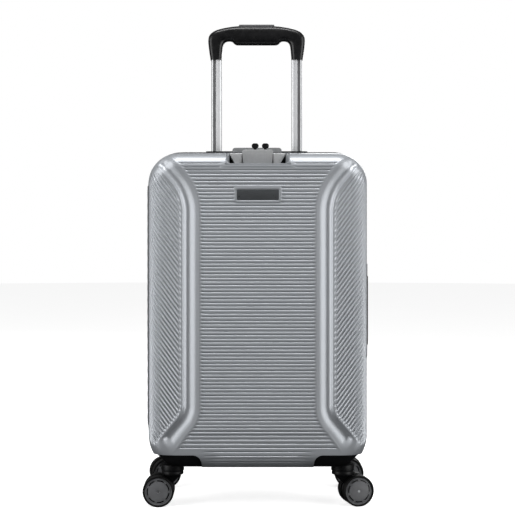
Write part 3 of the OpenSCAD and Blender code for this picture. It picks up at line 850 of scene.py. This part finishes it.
TUBE_FRONT = ((-9, 2.6), (-8.7, 4.2), (-7.8, 5.2), (-6.4, 5.8), (-5, 6.0), (-1.6, 5.95), (-0.6, 5.6),
              (2.6, 4.4), (6.2, 3.1), (8.0, 2.2), (8.8, 1.3), (9, 0.5))


def tube_outline(half_w, half_d, outward):
    """A drawn section: a flat strip on the outer part of its front and back, and a long slope inwards."""
    across, deep = np.array(TUBE_FRONT).T
    fine = np.linspace(0, len(across) - 1, 90)
    across = np.interp(fine, np.arange(len(TUBE_FRONT)), across)
    deep = np.interp(fine, np.arange(len(TUBE_FRONT)), deep)
    for _ in range(6):
        across[1:-1] = (across[:-2] + 2 * across[1:-1] + across[2:]) / 4
        deep[1:-1] = (deep[:-2] + 2 * deep[1:-1] + deep[2:]) / 4
    front = [(-outward * x / 9 * half_w, -y / 6 * half_d) for x, y in zip(across, deep)]
    return front + [(x, -y) for x, y in front[::-1]]


def make_tubes(node, half_w, half_d, wall):
    """One pair of drawn tubes, open at both ends."""
    low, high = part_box(node)
    middle_y = centre("top_tubes")[1]
    bm = bmesh.new()
    for side in (-1, 1):
        x = side * (high[0] - half_w)
        rings = []
        for z, inset in ((low[2], wall), (high[2], wall), (high[2], 0), (low[2], 0)):
            ring = tube_outline(half_w - inset, half_d - inset, side)
            rings.append([bm.verts.new((x + a, middle_y + b, z)) for a, b in ring])
        bridge(bm, rings + rings[:1])
    tubes = from_bmesh(f"{node}_drawn", bm, ALUMINIUM, body_of[node], 60)
    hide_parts(node)


make_tubes("top_tubes", 9 * MM, 6 * MM, 1 * MM)


# ---------------------------------------------------------------- linings

SKIN_GAP = 0.6 * MM
BLOCK_GAP = 2 * MM


def lining_section(floor, bend):
    """Reach and depth of a lining from a corner's centre out to the rim."""
    knee = floor - bend

    def wall(depth):
        share = (depth - RIM) / (HALF_DEPTH - EDGE - RIM)
        thick = WALL + (CORE_DROP - WALL) * share + SKIN_GAP
        return CORNER - DRAFT * depth / (HALF_DEPTH - EDGE) - thick

    start = wall(knee) - bend
    points = [(start * t, floor) for t in np.linspace(0, 1, 7)]
    points += [(start + bend * sin(a), knee + bend * cos(a)) for a in np.linspace(0, pi / 2, 10)[1:]]
    points += [(wall(d), d) for d in np.linspace(knee, RIM + 1.5 * MM, 16)[1:]]
    return np.array(points)


def covered_blocks(end):
    """What the lining goes round inside a half: low corner, high corner and the way it is pushed."""
    blocks = []
    for corner in CORNERS[:2] if end < 0 else CORNERS[2:]:
        blocks.append((*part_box(f"{corner}_housing"), 2, 1))
    if end < 0:
        blocks.append((*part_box("lock_base"), 2, -1))
    else:
        top_low, top_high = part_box("top_handle_mounts")
        top_low = Vector((top_low[0], top_low[1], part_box("top_handle")[0][2]))
        blocks.append((top_low, top_high, 2, -1))
        side_low, side_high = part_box("side_handle_mounts")
        inner_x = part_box("side_handle")[0][0]
        for z0, z1 in ((side_low[2], side_low[2] + 24 * MM), (side_high[2] - 24 * MM, side_high[2])):
            low = Vector((inner_x, side_low[1], z0))
            high = Vector((side_high[0], side_high[1], z1))
            blocks.append((low, high, 0, -1))
    return blocks


def go_round(points, block):
    """Pushes the points that would be inside a block out of it, with a soft slope round it."""
    low, high, axis, way = block
    near = np.full(len(points), np.inf)
    for k in range(3):
        if k != axis:
            inside = np.minimum(points[:, k] - (low[k] - BLOCK_GAP), (high[k] + BLOCK_GAP) - points[:, k])
            near = np.minimum(near, inside)
    amount = smooth(near, -7 * MM, 0)
    face = (high[axis] if way > 0 else low[axis]) + way * BLOCK_GAP
    short = np.maximum(way * (face - points[:, axis]), 0)
    points[:, axis] += way * short * amount


def make_lining(node, end, floor, bend):
    """A cloth basin inside a shell half, with slack folds and a raised seam near the rim."""
    columns = np.linspace(-CORE_X, CORE_X, 66)
    rows = np.linspace(MID_Z - CORE_Z, MID_Z + CORE_Z, 104)
    base, way, core = perimeter(columns, rows, 16)
    section = lining_section(floor, bend)
    reach, deep = section[1:, 0], section[1:, 1]
    xs, zs = np.meshgrid(columns, rows)
    middle = np.stack([xs.ravel(), np.full(xs.size, end * floor), zs.ravel()], axis=1)
    ring = np.stack([base[:, 0, None] + way[:, 0, None] * reach,
                     end * np.broadcast_to(deep, (len(base), len(reach))),
                     base[:, 1, None] + way[:, 1, None] * reach], axis=2).reshape(-1, 3)
    points = np.concatenate([middle, ring])
    x, y, z = points.T
    depth_share = smooth(np.abs(y), RIM + 6 * MM, RIM + 25 * MM)
    slack = np.sin(x * 61 + 1.3 * np.sin(z * 37)) * np.sin(z * 43 + 1.7 * np.sin(x * 29))
    slack += 0.5 * np.sin(x * 140 + z * 90) * np.sin(z * 120 - x * 40)
    points[:, 1] -= end * (0.12 * MM + (0.06 if end < 0 else 0.4) * MM * (1.5 + slack)) * depth_share
    points[:, 0] -= np.sign(x) * 0.35 * MM * (1 + slack) * (np.abs(x) > CORE_X + 25 * MM) * depth_share
    seam = np.exp(-((np.abs(y) - (RIM + 5 * MM)) / (1.1 * MM)) ** 2)
    points[:, 0] -= np.sign(x) * 0.7 * MM * seam * (np.abs(x) > CORE_X)
    points[:, 2] -= np.sign(z - MID_Z) * 0.7 * MM * seam * (np.abs(z - MID_Z) > CORE_Z)
    for block in covered_blocks(end):
        go_round(points, block)

    steps = len(reach)
    index = len(middle) + np.arange(len(base) * steps).reshape(len(base), steps)
    index = np.concatenate([core[:, None], index], axis=1)
    inner = grid_faces(np.arange(xs.size).reshape(xs.shape))
    faces = [tuple(dict.fromkeys(f)) for f in np.concatenate([inner, ring_faces(index)]).tolist()]
    faces = [f if end > 0 else f[::-1] for f in faces if len(f) > 2]
    lining = new_object(f"{node}_cloth", points, faces, LINING, body_of[node], 60)
    thicken(lining, 0.7 * MM, LINING, body_of[node], offset=1)
    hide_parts(node)


make_lining("front_lining", -1, HALF_DEPTH - CORE_DROP - SKIN_GAP, EDGE - CORE_DROP - SKIN_GAP)
make_lining("rear_lining", 1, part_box("rear_lining")[1][1] - 0.8 * MM, 15 * MM)


# ---------------------------------------------------------------- zip, tape and hinge cloth

def outline_path(grow, step):
    """Points, outward directions and travelled lengths round the case, anticlockwise from in front."""
    radius = CORNER + grow
    points, ways, lengths = [], [], []
    travelled = 0.0
    turns = ((1, 1, 0), (-1, 1, 1), (-1, -1, 2), (1, -1, 3))
    for side_x, side_z, quarter in turns:
        middle = Vector((side_x * CORE_X, 0, MID_Z + side_z * CORE_Z))
        count = int(radius * pi / 2 / step)
        for k in range(count):
            a = pi / 2 * (quarter + k / count)
            way = Vector((cos(a), 0, sin(a)))
            points.append(middle + way * radius)
            ways.append(way)
            lengths.append(travelled + radius * pi / 2 * k / count)
        travelled += radius * pi / 2
        straight = 2 * (CORE_X if quarter in (0, 2) else CORE_Z)
        way = Vector((cos(pi / 2 * (quarter + 1)), 0, sin(pi / 2 * (quarter + 1))))
        along = Vector((-way.z, 0, way.x))
        count = int(straight / step)
        for k in range(count):
            points.append(middle + way * radius + along * (straight * k / count))
            ways.append(way)
            lengths.append(travelled + straight * k / count)
        travelled += straight
    return points, ways, lengths


def make_tape(node, end):
    """The woven tape round a half's rim: a thin band that puckers at its stitches, with a stitched row."""
    points, ways, lengths = outline_path(0, 3 * MM)
    near, far = 2.35 * MM, 6.9 * MM
    bm = bmesh.new()
    rings = []
    for point, way, length in zip(points, ways, lengths):
        pucker = 0.12 * MM * sin(length / (2.1 * MM))
        edge = 0.45 * MM if point.x < -CORE_X - CORNER * 0.75 else near
        section = [(-1.0, edge), (0.5, edge), (0.62, edge + 0.3 * MM), (0.62, 3.6 * MM), (0.35, 4.2 * MM),
                   (0.62, 4.8 * MM), (0.6, far - 0.4 * MM), (0.3, far), (-1.0, far)]
        ring = []
        for out, y in section:
            place = point + way * (out * MM + (pucker if out > 0.3 else 0))
            ring.append(bm.verts.new((place.x, end * y, place.z)))
        rings.append(ring)
    bridge(bm, rings + rings[:1])
    tape = from_bmesh(f"{node}_woven", bm, TAPE, body_of[node], 50)
    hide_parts(node)


def add_block(bm, place, across, along, depth, sizes):
    """A small tooth: a block with a narrower outer face. sizes are its half sizes."""
    corners = []
    for c, narrow, shallow in ((-1, 1, 1), (1, 0.72, 0.9)):
        for a, b in ((-1, -1), (1, -1), (1, 1), (-1, 1)):
            corners.append(bm.verts.new(place + across * (c * sizes[0]) + along * (a * sizes[1] * narrow)
                                        + depth * (b * sizes[2] * shallow)))
    for face in ((3, 2, 1, 0), (4, 5, 6, 7), (0, 1, 5, 4), (1, 2, 6, 5), (2, 3, 7, 6), (3, 0, 4, 7)):
        bm.faces.new([corners[k] for k in face])


TOOTH_PITCH = 2.6 * MM


def make_teeth(node, end):
    """Moulded teeth on the zip's part of the outline; the two halves' teeth take turns along it."""
    low_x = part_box(node)[0][0]
    points, ways, lengths = outline_path(0.2 * MM, 0.65 * MM)
    bm = bmesh.new()
    start = 0 if end < 0 else TOOTH_PITCH / 2
    for point, way, length in zip(points, ways, lengths):
        if point.x < low_x or length < start:
            continue
        start += TOOTH_PITCH
        along = Vector((-way.z, 0, way.x))
        place = Vector((point.x, end * 1.1 * MM, point.z))
        add_block(bm, place, way, along, Vector((0, 1, 0)), (0.95 * MM, 0.6 * MM, 1.2 * MM))
    teeth = from_bmesh(f"{node}_row", bm, SATIN, body_of[node], 30)
    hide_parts(node)


for half, end in (("front", -1), ("rear", 1)):
    make_tape(f"{half}_zip_tape", end)
    make_teeth(f"{half}_zip_teeth", end)


def make_hinge_cloth():
    """The woven strip on the hinge side between the two halves."""
    low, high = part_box("hinge_piping")
    x = high[0] - 0.2 * MM
    bm = bmesh.new()
    rows = np.linspace(low[2] + 2 * MM, high[2] - 2 * MM, 120)
    across = np.linspace(-6.4, 6.4, 15) * MM
    grid = []
    for z in rows:
        wave = 0.12 * MM * sin(z / (3.1 * MM))
        grid.append([bm.verts.new((x + 0.35 * MM * cos(y / MM * 0.45) - 0.3 * MM + wave, y, z))
                     for y in across])
    bridge(bm, grid, closed=False)
    cloth = from_bmesh("hinge_cloth", bm, TAPE, None, 60)
    thicken(cloth, 0.5 * MM, TAPE, None, offset=0)
    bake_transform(cloth)


def make_piping():
    """The twisted piping cord down the hinge side."""
    low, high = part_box("hinge_piping")
    sides = 10
    bm = bmesh.new()
    rings = []
    for z in np.linspace(low[2], high[2], 400):
        twist = z / (1.9 * MM)
        ring = []
        for k in range(sides):
            a = 2 * pi * k / sides
            r = (0.55 + 0.1 * cos(3 * a + twist)) * MM
            ring.append(bm.verts.new((high[0] - 0.7 * MM + r * cos(a), r * sin(a), z)))
        rings.append(ring)
    bridge(bm, rings, capped=True)
    piping = from_bmesh("hinge_piping_cord", bm, TAPE, "rear_case", 60)
    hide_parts("hinge_piping")


make_hinge_cloth()
make_piping()


# ---------------------------------------------------------------- packing straps and pocket

def ribbon(name, start, finish, y, lift, width, thick, finish_material, body):
    """A flat strap between two points, with stitched edges; it rises by lift at its middle."""
    start, finish = Vector(start), Vector(finish)
    along = (finish - start).normalized()
    side = Vector((-along.z, 0, along.x))
    length = (finish - start).length
    bm = bmesh.new()
    shape = [(-1, 0.5), (-0.86, 1), (-0.8, 0.78), (-0.74, 1), (0, 1.05), (0.74, 1), (0.8, 0.78), (0.86, 1),
             (1, 0.5), (1, -0.5), (0, -0.8), (-1, -0.5)]
    rings = []
    for k in range(121):
        t = k / 120
        hump = lift * float(smooth(1 - abs(t - 0.5) * 2, 0.86, 0.96))
        sway = 0.5 * MM * sin(pi * t * 3) * (1 - t) * t * 4
        place = start + along * (length * t) + side * sway
        rings.append([bm.verts.new((place.x + side.x * a * width / 2, y + hump - b * thick / 2,
                                    place.z + side.z * a * width / 2)) for a, b in shape])
    bridge(bm, rings, capped=True)
    return from_bmesh(name, bm, finish_material, body, 60), length


STRAP_WIDTH = 25 * MM
STRAP_ANGLE = radians(55)             # from level
strap_low, strap_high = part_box("packing_straps")
strap_x = strap_high[0] - STRAP_WIDTH / 2 * sin(STRAP_ANGLE) - 1 * MM
strap_z = (strap_high[2] - strap_low[2]) / 2 - STRAP_WIDTH / 2 * cos(STRAP_ANGLE) - 1 * MM
strap_x = min(strap_x, strap_z / tan(STRAP_ANGLE))
strap_z = strap_x * tan(STRAP_ANGLE)
for name, side, lift in (("strap_left", -1, 0), ("strap_right", 1, 1.4 * MM)):
    start, finish = (side * strap_x, 0, MID_Z - strap_z), (-side * strap_x, 0, MID_Z + strap_z)
    strap, length = ribbon(name, start, finish, strap_low[1] + 0.8 * MM, lift, STRAP_WIDTH, 1.3 * MM,
                           TAPE, "rear_case")
    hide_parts("packing_straps")


POCKET_INSET = 5 * MM                 # from the CAD pocket's outline to the mesh
pocket_low, pocket_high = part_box("front_pocket")
POCKET_BACK = pocket_low[1] + 4.0 * MM


def make_pocket_mesh():
    """The pocket's knitted cloth, which bulges a little and has upright folds."""
    low, high = pocket_low, pocket_high
    columns = np.linspace(low[0] + POCKET_INSET, high[0] - POCKET_INSET, 55)
    rows = np.linspace(low[2] + POCKET_INSET, high[2] - 26 * MM, 75)
    xs, zs = np.meshgrid(columns, rows)
    across = 1 - ((xs - columns.mean()) / np.ptp(columns) * 2) ** 2
    up = 1 - ((zs - rows.mean()) / np.ptp(rows) * 2) ** 2
    bulge = 1.0 * MM * np.sqrt(np.clip(across * up, 0, 1))
    folds = 0.25 * MM * np.sin(xs * 190 + 2 * np.sin(zs * 30)) * smooth(zs, rows[0], rows[-1]) * across
    points = np.stack([xs.ravel(), (POCKET_BACK + bulge + folds).ravel(), zs.ravel()], axis=1)
    faces = grid_faces(np.arange(xs.size).reshape(xs.shape)).tolist()
    cloth = new_object("pocket_mesh_cloth", points, faces, MESH, "front_case", 60)
    thicken(cloth, 0.5 * MM, MESH, "front_case")
    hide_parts("front_pocket")


def make_pocket_band(name, z0, z1, half):
    """A stitched band round an upright rectangle of the pocket, half wide to each side of its line."""
    x0, x1 = pocket_low[0] + POCKET_INSET, pocket_high[0] - POCKET_INSET
    section = [(-1, 0), (-0.8, 0.9), (-0.62, 0.7), (-0.45, 1), (0, 1.1), (0.45, 1), (0.62, 0.7),
               (0.8, 0.9), (1, 0)]
    bm = bmesh.new()
    loops = []
    for a, b in section:
        grow, y = a * half, POCKET_BACK - 0.3 * MM + b * 1.5 * MM
        left, right, low, high = x0 - grow, x1 + grow, z0 - grow, z1 + grow
        corners = ((left, low), (right, low), (right, high), (left, high))
        loops.append([bm.verts.new((x, y, z)) for x, z in corners])
    bridge(bm, loops + loops[:1])
    from_bmesh(name, bm, TAPE, "front_case", 50)


def make_pocket_teeth():
    """The teeth of the pocket's zip."""
    low, high = pocket_low, pocket_high
    across, along, depth = Vector((0, 1, 0)), Vector((1, 0, 0)), Vector((0, 0, 1))
    bm = bmesh.new()
    for k in range(int((high[0] - low[0] - 20 * MM) / TOOTH_PITCH)):
        place = Vector((low[0] + 10 * MM + k * TOOTH_PITCH, POCKET_BACK + 1.5 * MM, high[2] - 14 * MM))
        add_block(bm, place, across, along, depth, (0.5 * MM, 0.7 * MM, 1.6 * MM))
    from_bmesh("pocket_zip_row", bm, SATIN, "front_case", 30)


make_pocket_mesh()
make_pocket_band("pocket_binding", pocket_low[2] + POCKET_INSET, pocket_high[2] - POCKET_INSET, 4.2 * MM)
make_pocket_band("pocket_zip_band", pocket_high[2] - 30 * MM, pocket_high[2] - 22 * MM, 1.5 * MM)
make_pocket_teeth()


# ---------------------------------------------------------------- finishes of the CAD nodes

FINISH = {
    "zip_tape": TAPE, "zip_teeth": BLACK, "piping": TAPE, "lining": LINING, "strap": TAPE, "buckle": SATIN,
    "tray": BLACK, "aluminium_tube": ALUMINIUM, "handle_mount": BLACK, "nameplate": PLATE, "lock": LOCK,
    "pocket_mesh": LINING, "grip": SATIN, "button": BUTTON, "top_handle": HANDLE, "side_handle": SOFT,
    "zip_slider": SATIN, "dial": DIAL, "latch": BUTTON, "housing": BLACK, "fork": BLACK, "axle": STEEL,
    "hub": HUB, "tyre": TYRE, "shell": SHELL}
for name, node in nodes.items():
    for k in range(max(len(node.material_slots), 1)):
        if node.material_slots:
            node.material_slots[k].material = FINISH[slot_of[name]]
        else:
            node.data.materials.append(FINISH[slot_of[name]])


# ---------------------------------------------------------------- stage, light and camera

def make_stage():
    """A round pale floor that glows a little."""
    bm = bmesh.new()
    bmesh.ops.create_circle(bm, cap_ends=True, segments=96, radius=9)
    mesh = bpy.data.meshes.new("floor")
    bm.to_mesh(mesh)
    bm.free()
    floor = add_object("floor", mesh)
    paper = material("floor_paper", (0.86, 0.86, 0.86), rough=0.9, vary=0.01, vary_scale=3)
    shader = paper.node_tree.nodes["Principled BSDF"]
    shader.inputs["Emission Color"].default_value = (1, 1, 1, 1)
    shader.inputs["Emission Strength"].default_value = 0.72
    mesh.materials.append(paper)
    floor.visible_diffuse = False
    floor.visible_glossy = False


def area_light(name, place, target, size, power):
    """A soft rectangular light, with its power in watts."""
    lamp = bpy.data.lights.new(name, "AREA")
    lamp.shape = "RECTANGLE"
    lamp.size, lamp.size_y = size
    lamp.energy = power
    holder = add_object(name, lamp)
    holder.location = place
    holder.rotation_euler = (Vector(target) - Vector(place)).to_track_quat("-Z", "Y").to_euler()


def make_world(above, below):
    """A white backdrop for the camera, and a fill that is stronger from above than from below."""
    world = bpy.data.worlds.new("studio")
    scene.world = world
    world.use_nodes = True
    tree = world.node_tree
    place = add_node(tree, "TexCoord", {}).outputs["Generated"]
    rise = add_node(tree, "SeparateXYZ", {"Vector": place}).outputs["Z"]
    fill = add_node(tree, "MapRange", {"From Min": -0.25, "From Max": 0.35, "To Min": below,
                                       "To Max": above, "Value": rise}).outputs["Result"]
    seen = add_node(tree, "LightPath", {}).outputs["Is Camera Ray"]
    strength = add_node(tree, "Math", {0: seen, 1: fill}, operation="MAXIMUM").outputs["Value"]
    back = tree.nodes["Background"]
    back.inputs["Color"].default_value = (1, 1, 1, 1)
    tree.links.new(strength, back.inputs["Strength"])


make_stage()
make_world(0.24, 0.03)
scene.view_settings.view_transform = "Standard"
area_light("left_box", (-1.6, -0.95, 0.5), (0, 0, 0.3), (1.3, 2.0), 33)
area_light("right_box", (1.6, -0.95, 0.5), (0, 0, 0.3), (1.3, 2.0), 33)
area_light("back_box", (0.7, 2.3, 1.5), (0, 0, 0.3), (1.4, 1.4), 26)
area_light("top_box", (0, -0.8, 2.3), (0, -0.1, 0.3), (1.5, 0.5), 38)

CAMERA_X, CAMERA_Z, CAMERA_DISTANCE = -0.02, 0.437, 1.97
camera = bpy.data.cameras.new("camera")
camera.lens = 87.4
camera.sensor_width = 36
camera.shift_x = 0.024
camera.shift_y = -0.0476
viewer = add_object("camera", camera)
viewer.location = (CAMERA_X, -HALF_DEPTH - CAMERA_DISTANCE, CAMERA_Z)
viewer.rotation_euler = (pi / 2, 0, 0)
scene.camera = viewer
